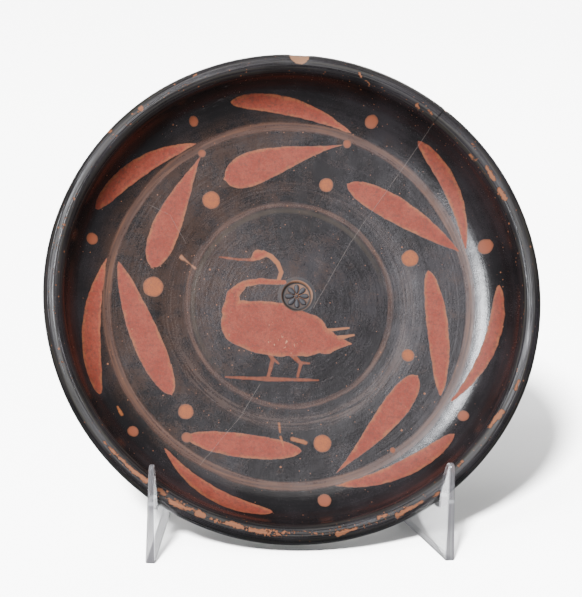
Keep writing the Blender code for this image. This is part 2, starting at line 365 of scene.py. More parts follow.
# %% Press the stamp
STAMP_PLACE = Vector((2.5, 2.9))
STAMP_RADIUS = 4.8
STAMP_DEPTH = 0.55
STAMP_WALL = 0.45
PETALS = 8
PETAL_ROOT = 0.75
PETAL_LENGTH = 3.0
PETAL_HALF_WIDTH = 1.12
PETAL_RISE = 0.5
PETAL_SWELL = 1.9
PETAL_OPENING = 0.85
PETAL_CLOSING = 0.5
BOSS_RADIUS = 0.62
BOSS_SHARE = 0.8
RAISED_EDGE = 0.06
RAISED_EDGE_AWAY = 0.25
RAISED_EDGE_WIDTH = 0.3


def petal_height(spot):
    """How much of a petal or the boss stands at this point of the stamp, from 0 to 1."""
    distance = spot.length
    lobe = 2 * math.pi / PETALS
    turn = math.atan2(spot.y, spot.x)
    turn -= lobe * round(turn / lobe)
    along = (distance * math.cos(turn) - PETAL_ROOT) / PETAL_LENGTH
    across = abs(distance * math.sin(turn))
    height = max(0.0, 1 - (distance / BOSS_RADIUS) ** 2) * BOSS_SHARE
    if 0 < along < 1:
        outline = PETAL_SWELL * along ** PETAL_OPENING * (1 - along) ** PETAL_CLOSING
        half_width = max(PETAL_HALF_WIDTH * outline, 0.01)
        height = max(height, math.sqrt(max(0.0, 1 - (across / half_width) ** 2)))
    return height


def press_stamp(source):
    """Move the floor under the stamp, and keep the petals' height as an attribute."""
    layer = source.verts.layers.float.new("petal")
    floor_edge = PLATE_HEIGHT - FLOOR_DEPTH
    for vert in source.verts:
        on_floor = floor_edge - FLOOR_DISH - TONDO_STEP <= vert.co.z <= floor_edge
        if not on_floor or vert.co.xy.length > STAMP_ZONE:
            continue
        spot = vert.co.xy - STAMP_PLACE
        pressed = min(1.0, max(0.0, (STAMP_RADIUS - spot.length) / STAMP_WALL))
        petal = petal_height(spot)
        beyond = (spot.length - STAMP_RADIUS - RAISED_EDGE_AWAY) / RAISED_EDGE_WIDTH
        vert.co.z += RAISED_EDGE * math.exp(-beyond ** 2)
        vert.co.z += pressed * (petal * PETAL_RISE - STAMP_DEPTH)
        vert[layer] = petal * pressed


press_stamp(clay)
print("stamp at", tuple(STAMP_PLACE), "radius", STAMP_RADIUS, "mm")

# %% [markdown]
# No thrown lip is perfectly even, and this one has lost a few flakes. A slow noise moves the lip in
# and out by a fraction of a millimetre, and each chip is a shallow scoop taken out of the crest:
# one at the top and smaller ones elsewhere. A chip's row is its place, its reach and its depth.

# %% Uneven lip and chips
LIP_SWAY = 0.16
SWAY_WAVES = (2.3, 2.3, 0.7)
RISE_WAVES = (3.1, 3.1, 4.2)
SWAY_START = 3.0
CHIP_INWARD = 0.6
CHIP_DOWNWARD = Vector((0.0, 0.0, 0.5))
CHIPS = [
    (Vector((3.2, 77.4)), 3.5, 0.75),
    (Vector((-47.4, 59.2)), 0.9, 0.30),
    (Vector((-57.2, 52.0)), 0.7, 0.25),
    (Vector((49.4, 60.0)), 0.9, 0.30),
]


def lip_noise(outward, waves):
    """A slow noise round the rim: how often it waves in each direction, and where it is cut."""
    return noise.noise(Vector((outward.x * waves[0], outward.y * waves[1], waves[2]))) * LIP_SWAY


def wear_lip(source):
    """Sway the lip a little and scoop the chips out of it."""
    start = RIM_RADIUS - LIP_WIDTH - SWAY_START
    for vert in source.verts:
        radius = vert.co.xy.length
        if radius < start:
            continue
        outward = Vector((vert.co.x, vert.co.y, 0.0)).normalized()
        moved = outward * lip_noise(outward, SWAY_WAVES)
        moved.z = lip_noise(outward, RISE_WAVES) / 2
        vert.co += moved * min(1.0, (radius - start) / SWAY_START)
        for place, reach, depth in CHIPS:
            away = (vert.co.xy - place).length / reach
            if away < 1 and vert.co.z > PLATE_HEIGHT - LIP_ROUND_DEPTH:
                vert.co -= (outward * CHIP_INWARD + CHIP_DOWNWARD) * depth * (1 - away ** 2)


wear_lip(clay)
print("chips:", len(CHIPS))

# %% [markdown]
# Four finishes meet on the plate: the round field in the centre, the dish with its wreath, the lip
# and the underside. Each face is given its own by where it lies on the turned shape, while the
# plate still lies flat.

# %% Share out the finishes
ZONES = ("field", "dish", "lip", "underside")


def zone_of(face):
    """Which finish a face of the flat-lying plate takes."""
    centre = face.calc_center_median()
    radius = centre.xy.length
    if radius > RIM_RADIUS - LIP_WIDTH and centre.z > PLATE_HEIGHT - LIP_FACE_DEPTH:
        return "lip"
    if face.normal.z > 0 and centre.z > PLATE_HEIGHT / 2:
        return "field" if radius < TONDO_RADIUS else "dish"
    return "underside"


clay.normal_update()
for face in clay.faces:
    face.material_index = ZONES.index(zone_of(face))
print({zone: sum(face.material_index == number for face in clay.faces)
       for number, zone in enumerate(ZONES)})

# %% [markdown]
# The plate leans back in the easel. Its place isn't typed in but read from the CAD node's box: the
# lowest and foremost points of the turned shape have to be where the node's are. The matrix turns
# the mesh and takes it from millimetres to metres, and the object itself stays at the origin.

# %% Lean the plate where the CAD says
PLATE_CREASE = math.radians(50)

plate_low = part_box("plate")[0]
lean_points = [(point.x, PLATE_HEIGHT - point.y) for point in upper_profile + lower_profile]
lean_cos, lean_sin = math.cos(LEAN), math.sin(LEAN)
front_reach = min(depth * lean_cos - radius * lean_sin for radius, depth in lean_points)
low_reach = max(depth * lean_sin + radius * lean_cos for radius, depth in lean_points)
RIM_CENTRE = Vector((0.0, plate_low[1] - front_reach * MM, plate_low[2] + low_reach * MM))
LEAN_TURN = math.pi / 2 - LEAN
plate_place = (Matrix.Translation(RIM_CENTRE) @ Matrix.Rotation(LEAN_TURN, 4, "X")
               @ Matrix.Scale(MM, 4) @ Matrix.Translation((0, 0, -PLATE_HEIGHT)))
bmesh.ops.transform(clay, matrix=plate_place, verts=clay.verts)
plate = add_piece("slipped_plate", clay)
plate.data.shade_smooth()
plate.data.set_sharp_from_angle(angle=PLATE_CREASE)
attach(plate, "root")
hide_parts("plate")
print("middle of the rim in mm:", [round(value / MM, 2) for value in RIM_CENTRE])

# %% [markdown]
# The easel is one strip of clear sheet, cut flat and bent twice while warm, and it is made here in
# the same order. Its sizes, in millimetres, repeat the CAD part's: how far the wings stand apart
# and toe in, how they bend into the back strip, and one wing's outline, seen from the side. Each
# row of the outline is a corner: how far along the sheet it lies, its height and its rounding.

# %% Sizes of the easel
SHEET = 3.0
EASEL_SPREAD = 91.8
EASEL_DEPTH = 98.5
TOE_IN = math.radians(8.0)
BEND_RADIUS = 7.0
BEND_STEPS = 16
ROUND_STEPS = 8
FINGER_DEPTH = 8.3
FINGER_TIP = 3.4
FINGER_TOP = 30.5
FINGER_FOOT = 22.5
LEDGE_HEIGHT = 14.5
BAR_FOOT = 31.22
BAR_TOP = (62.87, 91.28)
BAR_BACK_TOP = (74.89, 86.33)
BAR_BACK_FOOT = 46.73
STRIP_HEIGHT = 18.0
OUTSIDE_ROUND = 4.0
INSIDE_ROUND = 1.6
CORNER_ROUND = 0.5
TIP_ROUND = FINGER_TIP / 2.1
HALF_SPREAD = EASEL_SPREAD / 2
WING_START = SHEET / 2 * math.sin(TOE_IN)
BEND_LENGTH = BEND_RADIUS * (math.pi / 2 - TOE_IN)
BEND_START_Y = EASEL_DEPTH - SHEET / 2 - BEND_RADIUS * (1 - math.sin(TOE_IN))
WING_LENGTH = (BEND_START_Y - WING_START) / math.cos(TOE_IN)
STRIP_HALF = HALF_SPREAD - WING_LENGTH * math.sin(TOE_IN) - BEND_RADIUS * math.cos(TOE_IN)
HALF_LENGTH = WING_LENGTH + BEND_LENGTH + STRIP_HALF

wing_outline = [
    (0.0, 0.0, CORNER_ROUND),
    (0.0, FINGER_TOP, TIP_ROUND),
    (FINGER_TIP, FINGER_TOP, TIP_ROUND),
    (FINGER_DEPTH, FINGER_FOOT, OUTSIDE_ROUND),
    (FINGER_DEPTH, LEDGE_HEIGHT, INSIDE_ROUND),
    (BAR_FOOT, LEDGE_HEIGHT, OUTSIDE_ROUND),
    (*BAR_TOP, OUTSIDE_ROUND),
    (*BAR_BACK_TOP, OUTSIDE_ROUND),
    (BAR_BACK_FOOT, STRIP_HEIGHT, OUTSIDE_ROUND),
]
print("flat sheet:", round(2 * HALF_LENGTH, 1), "mm long")

# %% [markdown]
# The wing's outline is mirrored for the other one, so the flat sheet is a single face. bevel on its
# vertices rounds the corners, one size at a time. bisect_plane then cuts it across where it will
# bend, because a mesh only bends where it has edges, and the extrusion gives it its thickness.

# %% Cut the flat sheet


def cut_flat_sheet():
    """The easel's flat shape as one upright face with rounded corners, cut across at the bends."""
    mirrored = [(2 * HALF_LENGTH - along, height, corner)
                for along, height, corner in reversed(wing_outline)]
    outline = wing_outline + mirrored
    flat = bmesh.new()
    corners = [flat.verts.new((along, 0.0, height)) for along, height, _ in outline]
    flat.faces.new(corners)
    for radius in sorted({corner for _, _, corner in outline}):
        picked = [vert for vert, spec in zip(corners, outline) if spec[2] == radius]
        bmesh.ops.bevel(flat, geom=picked, offset=radius, offset_type="OFFSET",
                        segments=ROUND_STEPS, profile=0.5, affect="VERTICES", material=-1)
    for start in (WING_LENGTH, 2 * HALF_LENGTH - WING_LENGTH - BEND_LENGTH):
        for step in range(BEND_STEPS + 1):
            everything = list(flat.verts) + list(flat.edges) + list(flat.faces)
            bmesh.ops.bisect_plane(flat, geom=everything, plane_no=(1, 0, 0),
                                   plane_co=(start + BEND_LENGTH * step / BEND_STEPS, 0, 0))
    return flat


acrylic = cut_flat_sheet()
for vert in acrylic.verts:
    vert.co.y = -SHEET / 2
thickened = bmesh.ops.extrude_face_region(acrylic, geom=list(acrylic.faces))
far_side = [item for item in thickened["geom"] if isinstance(item, bmesh.types.BMVert)]
bmesh.ops.translate(acrylic, verts=far_side, vec=(0.0, SHEET, 0.0))
bmesh.ops.recalc_face_normals(acrylic, faces=acrylic.faces)
print("sheet faces:", len(acrylic.faces))

# %% [markdown]
# Bending is a map from the flat sheet to its plan: straight wings that run in towards the back, two
# tight curves and a straight back strip. The fingers are filed thinner towards their tips. The sawn
# edges were flame-polished, so a Bevel modifier rounds them. That rounding is what makes the bright
# lines along clear acrylic. How far a vertex lies across the thickness is kept as an attribute.

# %% Bend and polish the easel
EDGE_POLISH = 0.55
POLISH_SEGMENTS = 4
FINGER_THINNING = 0.5
EASEL_CREASE = math.radians(30)
POLISHED_FROM = math.radians(50)
FACE_NORMAL = 0.9


def bent_sheet_point(along, height, offset):
    """A point of the flat sheet, carried to its place in the bent one."""
    mirrored = along > HALF_LENGTH
    run = 2 * HALF_LENGTH - along if mirrored else along
    if run <= WING_LENGTH:
        heading = TOE_IN
        x = HALF_SPREAD - run * math.sin(TOE_IN)
        y = WING_START + run * math.cos(TOE_IN)
    elif run <= WING_LENGTH + BEND_LENGTH:
        heading = TOE_IN + (run - WING_LENGTH) / BEND_RADIUS
        x = STRIP_HALF + BEND_RADIUS * math.cos(heading)
        y = BEND_START_Y + BEND_RADIUS * (math.sin(heading) - math.sin(TOE_IN))
    else:
        heading = math.pi / 2
        x = HALF_LENGTH - run
        y = EASEL_DEPTH - SHEET / 2
    x -= offset * math.cos(heading)
    y -= offset * math.sin(heading) + EASEL_DEPTH / 2
    return Vector((-x if mirrored else x, y, height))


def finger_thickness(flat_point):
    """The sheet's share of its thickness: whole, but less and less up a finger."""
    if min(flat_point.x, 2 * HALF_LENGTH - flat_point.x) > FINGER_DEPTH + 1:
        return 1.0
    risen = max(0.0, flat_point.z - LEDGE_HEIGHT) / (FINGER_TOP - LEDGE_HEIGHT)
    return 1.0 - FINGER_THINNING * min(1.0, risen)


across_layer = acrylic.verts.layers.float.new("across")
acrylic.normal_update()
for face in acrylic.faces:
    face.material_index = 0 if abs(face.normal.y) > FACE_NORMAL else 1
for vert in acrylic.verts:
    vert[across_layer] = vert.co.y / (SHEET / 2)
    vert.co.y *= finger_thickness(vert.co)
    vert.co = bent_sheet_point(vert.co.x, vert.co.z, vert.co.y) * MM
easel = add_piece("acrylic_easel", acrylic)
easel.data.shade_smooth()
easel.data.set_sharp_from_angle(angle=EASEL_CREASE)
polish = easel.modifiers.new("polished_edges", "BEVEL")
polish.width = EDGE_POLISH * MM
polish.segments = POLISH_SEGMENTS
polish.limit_method = "ANGLE"
polish.angle_limit = POLISHED_FROM
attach(easel, "root")
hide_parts("display_stand")
easel_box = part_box("display_stand")
print("easel box in mm:", [round(value / MM, 1) for corner in easel_box for value in corner])

# %% [markdown]
# Materials are sums on sockets. The class Wire wraps one socket, so that 1 - mask or a * b adds
# the Math node for it, and Finish holds a material and one method that adds any other node.

# %% Tools for the finishes


class Wire:
    """One socket's value in a material, for use in sums."""

    def __init__(self, finish, socket):
        self.finish = finish
        self.socket = socket

    def maths(self, operation, *terms):
        """A Math node on these terms."""
        return self.finish.node("ShaderNodeMath", {"operation": operation}, dict(enumerate(terms)))

    def __add__(self, other):
        return self.maths("ADD", self, other)

    def __radd__(self, other):
        return self.maths("ADD", other, self)

    def __sub__(self, other):
        return self.maths("SUBTRACT", self, other)

    def __rsub__(self, other):
        return self.maths("SUBTRACT", other, self)

    def __mul__(self, other):
        return self.maths("MULTIPLY", self, other)

    def __rmul__(self, other):
        return self.maths("MULTIPLY", other, self)

    def __truediv__(self, other):
        return self.maths("DIVIDE", self, other)

    def __rtruediv__(self, other):
        return self.maths("DIVIDE", other, self)

    def __pow__(self, other):
        return self.maths("POWER", self, other)

    def __rpow__(self, other):
        return self.maths("POWER", other, self)

    def __abs__(self):
        return self.maths("ABSOLUTE", self)


class Finish:
    """A material and the nodes in it."""

    def __init__(self, name):
        self.material = bpy.data.materials.new(name)
        self.material.use_nodes = True
        self.tree = self.material.node_tree
        self.shader = self.tree.nodes["Principled BSDF"]

    def node(self, kind, settings=None, sockets=None, output=0):
        """Add a node: its settings first, then the values or links of its sockets."""
        made = self.tree.nodes.new(kind)
        for setting, choice in (settings or {}).items():
            if setting == "stops":
                self.set_stops(made.color_ramp, choice)
            else:
                setattr(made, setting, choice)
        for slot, value in (sockets or {}).items():
            self.feed(made.inputs[slot], value)
        return Wire(self, made.outputs[output])

    def set_stops(self, ramp, stops):
        """Give a colour ramp its stops, as (place, colour)."""
        while len(ramp.elements) > 1:
            ramp.elements.remove(ramp.elements[-1])
        ramp.elements[0].position = stops[0][0]
        ramp.elements[0].color = stops[0][1]
        for place, colour in stops[1:]:
            ramp.elements.new(place).color = colour

    def feed(self, entry, value):
        """Link a wire to a socket, or set the socket's own value."""
        if isinstance(value, Wire):
            self.tree.links.new(value.socket, entry)
        else:
            entry.default_value = value

    def surface(self, **sockets):
        """Feed the shader's sockets, named with underscores."""
        for name, value in sockets.items():
            self.feed(self.shader.inputs[name.replace("_", " ")], value)


print("finish tools ready")

# %% [markdown]
# A few words that every finish below uses: the least or most of some values, soft steps, noise, the
# lengths and parts of a place, and laying one colour over another.

# %% Words for the finishes


def least(first, second):
    """The smaller of two values."""
    return first.maths("MINIMUM", first, second)


def most(first, *others):
    """The largest of several values."""
    for other in others:
        first = first.maths("MAXIMUM", first, other)
    return first


def held_between(value, low, high):
    """A value that stops at low and at high."""
    return most(least(value, high), low)


def soft_step(value, start, end):
    """0 at start, 1 at end, and smooth between them. End may be below start."""
    return value.finish.node("ShaderNodeMapRange", {"interpolation_type": "SMOOTHSTEP"},
                             {"Value": value, "From Min": start, "From Max": end})


def near(value, middle, far, close):
    """1 where a value is within close of its middle, and 0 beyond far."""
    return soft_step(abs(value - middle), far, close)


def inside(shape, fade):
    """The mask of a shape, from its distance, with an edge that fades this far each way."""
    return soft_step(shape, fade, -fade)


def grain(place, scale, detail=2.0, roughness=0.5):
    """Noise from 0 to 1 at this scale, in features for each unit of place."""
    return place.finish.node("ShaderNodeTexNoise", {}, {
        "Vector": place, "Scale": scale, "Detail": detail, "Roughness": roughness})


def lay_over(mask, under, over):
    """One colour laid over another by a mask."""
    sockets = {0: mask, 6: under, 7: over}
    return mask.finish.node("ShaderNodeMix", {"data_type": "RGBA"}, sockets, output=2)


def nearest(shapes):
    """Several shapes as one: at each place, the smallest of their distances."""
    shapes = list(shapes)
    while len(shapes) > 1:
        shapes.append(least(shapes.pop(0), shapes.pop(0)))
    return shapes[0]


def vector_maths(operation, *terms, output=0):
    """A Vector Math node on these terms, of which the first is a wire."""
    sockets = dict(enumerate(terms))
    return terms[0].finish.node("ShaderNodeVectorMath", {"operation": operation}, sockets, output)


def stretch(place, factors):
    """A place with each of its directions scaled."""
    return vector_maths("MULTIPLY", place, factors)


def length_of(place):
    """How long a place's vector is."""
    return vector_maths("LENGTH", place, output=1)


def parts_of(place):
    """The three numbers in a place."""
    finish = place.finish
    split = finish.node("ShaderNodeSeparateXYZ", {}, {0: place}).socket.node
    return [Wire(finish, out) for out in split.outputs]


def together(finish, x, y, z):
    """Three values as one place."""
    return finish.node("ShaderNodeCombineXYZ", {}, {0: x, 1: y, 2: z})


print("words ready")

# %% [markdown]
# The painter worked on the flat dish before it leaned, so the decoration is laid out in the plate's
# own millimetres: u to the right, v up and the height from the lip's crest, which is below 0. A
# Mapping node of the Texture kind undoes the lean, the place and the scale of the Object
# coordinates.

# %% The plate's own coordinates


class Clay:
    """Places on the plate that its finishes share."""

    def __init__(self, finish):
        self.finish = finish
        spot = finish.node("ShaderNodeTexCoord", output=3)
        self.place = finish.node("ShaderNodeMapping", {"vector_type": "TEXTURE"}, {
            "Vector": spot, "Location": RIM_CENTRE, "Rotation": (LEAN_TURN, 0.0, 0.0),
            "Scale": (MM, MM, MM)})
        self.flat = stretch(self.place, (1.0, 1.0, 0.0))
        self.radius = length_of(self.flat)
        self.u, self.v, self.height = parts_of(self.place)
        self.fine = grain(self.place, 2.6, 3.0, 0.65) - 0.5
        self.ragged = (grain(self.place, 0.40, 2.0) - 0.5) * 0.9 + self.fine * 0.5
        self.cloud = grain(self.place, 0.22, 4.0, 0.6)
        self.stain = grain(self.place, 0.95, 4.0, 0.7)
        self.streaks = self.wheel_lines(along=3.0, across=1.5)

    def wheel_lines(self, along, across, detail=3.0):
        """Noise that is drawn out round the plate, as a wheel or a turned brush leaves it."""
        share = vector_maths("NORMALIZE", self.flat)
        across_part = together(self.finish, 0.0, 0.0, self.radius * across)
        spot = vector_maths("MULTIPLY_ADD", share, (along, along, along), across_part)
        return grain(spot, 1.0, detail)


print("rim centre for the mapping:", [round(value, 4) for value in RIM_CENTRE])

# %% [markdown]
# Brush shapes. Each one is a distance in millimetres: below 0 is inside the paint. A leaf is a
# brush pressed down and lifted: its own Mapping node gives s along the stroke, from 0 to 1, and t
# across it, and the half-width rises with a power of s and closes again at the end. A stroke is a
# straight mark with round ends, and a dot is a distance from a point.

# %% Brush shapes
LEAF_CLOSING = 0.5
LEAF_END = 0.002


def along_and_across(clay, base, tip):
    """A stroke's own measures: s from 0 at its base to 1 at its tip, and t across it."""
    run = tip - base
    turned = clay.finish.node("ShaderNodeMapping", {"vector_type": "TEXTURE"}, {
        "Vector": clay.flat, "Location": (base.x, base.y, 0.0),
        "Rotation": (0.0, 0.0, math.atan2(run.y, run.x)), "Scale": (run.length, 1.0, 1.0)})
    s, t, _ = parts_of(turned)
    return s, t, run.length


def leaf(clay, base, tip, half_width, widest, bow):
    """A long leaf: widest at this share of its length, and bowed away from the straight line."""
    s, t, length = along_and_across(clay, base, tip)
    inside_s = held_between(s, LEAF_END, 1 - LEAF_END)
    beyond = abs(s - inside_s) * length
    lift = LEAF_CLOSING * widest / (1 - widest)
    peak = widest ** lift * (1 - widest) ** LEAF_CLOSING
    half = inside_s ** lift * (1 - inside_s) ** LEAF_CLOSING * (half_width / peak)
    line = inside_s * (1 - inside_s) * (-4 * bow)
    return abs(t - line) + beyond - half


def stroke(clay, base, tip, start_half, end_half):
    """A straight brush mark with round ends."""
    s, t, length = along_and_across(clay, base, tip)
    inside_s = held_between(s, 0.0, 1.0)
    away = length_of(together(clay.finish, (s - inside_s) * length, t, 0.0))
    return away - (inside_s * (end_half - start_half) + start_half)


def strokes(clay, marks):
    """Straight marks as one distance. Each is its two ends and its half-widths there."""
    return nearest(stroke(clay, Vector(start), Vector(end), *halves)
                   for start, end, *halves in marks)


def dot(clay, place, radius):
    """A round dab."""
    return vector_maths("DISTANCE", clay.flat, (*place, 0.0), output=1) - radius


def ring(clay, radius, half_width, sway):
    """A band painted while the plate turned, with a slow sway of the hand."""
    drift = (clay.wheel_lines(along=1.3, across=0.0, detail=1.0) - 0.5) * sway
    return abs(clay.radius + drift - radius) - half_width


def polar(radius, degrees):
    """A point on the plate from its distance and its angle."""
    angle = math.radians(degrees)
    return Vector((radius * math.cos(angle), radius * math.sin(angle)))


print("brush shapes ready")

# %% [markdown]
# The wreath: seven pairs of leaves grow from nodes on a round stem. Each line below is one leaf as
# the painter set it: its base and its tip, each a radius and an angle in degrees, then its
# half-width, where it is widest and how far it bows outwards. They differ because each was drawn in
# one go by hand. A dot is its middle, in u and v, and its radius.

# %% Layout of the wreath
STEM_RING = 58.05
OUTER_LEAVES = [
    ((59.6, 17.3), (67.1, 51.1), 2.3, 0.60, 3.6),
    ((59.6, 69.5), (67.3, 105.5), 2.6, 0.62, 3.5),
    ((59.6, 119.2), (68.0, 154.1), 2.8, 0.60, 3.5),
    ((59.6, 165.9), (67.3, 205.9), 2.9, 0.62, 3.6),
    ((61.2, 228.9), (67.1, 263.8), 2.4, 0.60, 4.6),
    ((59.6, 282.6), (66.1, 320.0), 2.7, 0.62, 3.6),
    ((59.6, 328.0), (66.9, 364.5), 2.2, 0.60, 4.5),
]
INNER_LEAVES = [
    ((57.3, 17.4), (43.8, 63.3), 4.2, 0.64, 1.0),
    ((55.8, 69.5), (45.3, 115.9), 5.4, 0.78, 1.3),
    ((55.8, 119.2), (45.1, 164.4), 4.5, 0.72, 1.0),
    ((55.8, 165.9), (47.5, 217.2), 4.5, 0.61, 0.9),
    ((53.8, 232.1), (47.1, 273.1), 3.8, 0.50, 0.5),
    ((55.8, 283.9), (46.3, 329.8), 4.1, 0.73, 1.2),
    ((55.8, 328.0), (46.0, 373.6), 3.3, 0.55, 1.3),
]
OUTER_DOTS = [((-29.9, 58.7), 1.5), ((27.3, 59.1), 2.0), ((62.8, 18.1), 2.3), ((53.9, -36.5), 1.7),
              ((9.4, -62.9), 2.1), ((-50.1, -41.0), 1.7), ((-62.4, 20.3), 1.8)]
INNER_DOTS = [((-24.4, 33.9), 2.8), ((12.6, 39.0), 2.2), ((39.0, 15.0), 2.7), ((37.4, -16.5), 2.0),
              ((9.4, -44.6), 2.8), ((-33.4, -34.4), 2.4), ((-43.2, 5.6), 3.2)]


def paint_leaves(clay):
    """All the leaves as one distance."""
    return nearest(leaf(clay, polar(*base), polar(*tip), *brush)
                   for base, tip, *brush in OUTER_LEAVES + INNER_LEAVES)


def paint_dots(clay, dots):
    """Round dabs as one distance."""
    return nearest(dot(clay, place, radius) for place, radius in dots)


print("leaves:", len(OUTER_LEAVES + INNER_LEAVES), "dots:", len(OUTER_DOTS + INNER_DOTS))

# %% [markdown]
# The swan in the middle is a simple water bird, built as the painter would: one full press of the
# brush for the body, and a few short strokes for the hooked neck, the head, the long thin bill, the
# tail feathers, two legs and the ground line. Each part is a chain of points in u and v, with the
# brush's half-width at each. The filled parts, the firm thin ones and the faint ones are kept
# apart, because each kind gets a paint of its own.

# %% Layout of the swan
SWAN_FILLED = {
    "body": [((-14.4, -6.0), 7.5), ((-9.0, -7.2), 8.5), ((-3.0, -8.0), 8.7), ((5.2, -9.7), 7.0),
             ((11.0, -11.9), 4.1), ((19.4, -12.6), 0.3)],
    "neck": [((-18.3, -2.0), 3.2), ((-17.9, 3.4), 2.0), ((-14.2, 6.8), 1.2), ((-9.5, 7.7), 1.0),
             ((-1.5, 7.3), 0.8)],
    "head": [((-7.6, 16.5), 1.1), ((-9.6, 16.2), 1.75), ((-11.2, 15.0), 0.9)],
}
SWAN_FIRM = {
    "hook": [((-3.3, 7.9), 0.6), ((-2.3, 10.6), 0.6), ((-3.3, 13.4), 0.7), ((-5.6, 15.8), 0.75),
             ((-8.0, 17.0), 0.7)],
    "tail": [((8.6, -6.8), 1.2), ((12.0, -8.2), 0.5), ((18.8, -7.5), 0.25)],
    "middle feather": [((9.0, -10.2), 2.0), ((14.0, -11.0), 0.9), ((20.4, -9.8), 0.25)],
}
SWAN_FAINT = {
    "bill": [((-11.4, 14.6), 0.5), ((-15.9, 14.7), 0.36), ((-22.0, 15.5), 0.22)],
    "front leg": [((-6.6, -15.4), 0.8), ((-5.6, -17.7), 0.6), ((-7.1, -22.9), 0.45)],
    "front spur": [((-5.5, -17.4), 0.45), ((-3.8, -18.9), 0.2)],
    "back leg": [((0.6, -16.0), 0.9), ((3.3, -18.9), 0.5), ((2.2, -23.0), 0.35)],
    "back spur": [((3.0, -18.6), 0.4), ((6.0, -18.9), 0.2)],
    "ground": [((-20.6, -23.2), 0.25), ((-6.8, -23.9), 0.7), ((8.7, -24.3), 0.25)],
}


def chain(clay, points):
    """Strokes from point to point, each with its half-width."""
    return nearest(stroke(clay, Vector(start), Vector(end), start_half, end_half)
                   for (start, start_half), (end, end_half) in zip(points, points[1:]))


def swan_shape(clay, parts):
    """Some of the swan's parts as one distance."""
    return nearest(chain(clay, points) for points in parts.values())


print("swan parts:", [*SWAN_FILLED, *SWAN_FIRM, *SWAN_FAINT])

# %% [markdown]
# The black is a glossy slip: a skin of very fine clay that the kiln turned dark. It isn't even. It
# is brown where it went on thin, it shows fine rings from the wheel, and its gloss is broken by a
# fine pitting, which is what makes the highlight on the real plate grainy.

# %% The slip
SLIP_BLACK = (0.0080, 0.0070, 0.0075, 1.0)
SLIP_GREY = (0.025, 0.0220, 0.0245, 1.0)
SLIP_BROWN = (0.046, 0.0235, 0.0150, 1.0)
SLIP_MAROON = (0.021, 0.0098, 0.0075, 1.0)
SLIP_OLIVE = (0.032, 0.027, 0.019, 1.0)
BARE_CLAY = (0.27, 0.098, 0.042, 1.0)
PALE_CLAY = (0.31, 0.155, 0.082, 1.0)
SLIP_ROUGHNESS = 0.128
RING_HEIGHT = 0.03
SLOW_HEIGHT = 0.12
PIT_HEIGHT = 0.035


def slip_colour(clay):
    """The dark skin with its thin brown patches, its maroon walls and fine turned rings."""
    rings = clay.wheel_lines(along=2.0, across=0.9)
    cloud = grain(clay.place, 0.035, 4.0, 0.6) + (rings - 0.5) * 0.25
    shade = lay_over(soft_step(cloud + clay.fine * 0.4, 0.34, 0.70), SLIP_BLACK, SLIP_GREY)
    wall = soft_step(clay.radius, 58.0, 68.0) * soft_step(clay.radius, 73.5, 71.5)
    shade = lay_over(wall * soft_step(cloud, 0.34, 0.56) * 0.08, shade, SLIP_MAROON)
    to_right = soft_step(clay.u - clay.v * 0.4, -45.0, 20.0)
    thin = clay.cloud * 0.6 + cloud * 0.4 + clay.fine * 0.6 - to_right * 0.2
    on_floor = soft_step(clay.radius, 66.0, 57.0) * 0.77 + 0.05
    return lay_over(soft_step(thin, 0.30, 0.60) * on_floor, shade, SLIP_BROWN)


def slip_gloss(clay):
    """Roughness of the dark skin."""
    patches = grain(clay.place, 0.08, 4.0, 0.6)
    return patches * 0.12 + clay.fine * 0.22 + clay.streaks * 0.08 + SLIP_ROUGHNESS


def slip_relief(clay):
    """Heights in millimetres: wheel rings, a slow unevenness, fine pits and grit."""
    rings = clay.wheel_lines(along=1.5, across=1.1) * RING_HEIGHT
    slow = grain(clay.place, 0.12) * SLOW_HEIGHT
    pits = grain(clay.place, 1.7, 4.0, 0.7) * PIT_HEIGHT
    return rings + slow + pits


print("slip black:", SLIP_BLACK[:3])

# %% [markdown]
# Wear and age: where it lies. The first table says how worn the lip's crest is, as pairs of an
# angle in degrees and an amount. The others are marks, each its two ends in u and v, and its
# half-widths there: flakes off the crest, smears of red, and the hairlines where the plate was
# broken and mended. The knobs are small round dabs at the leaves' ends.

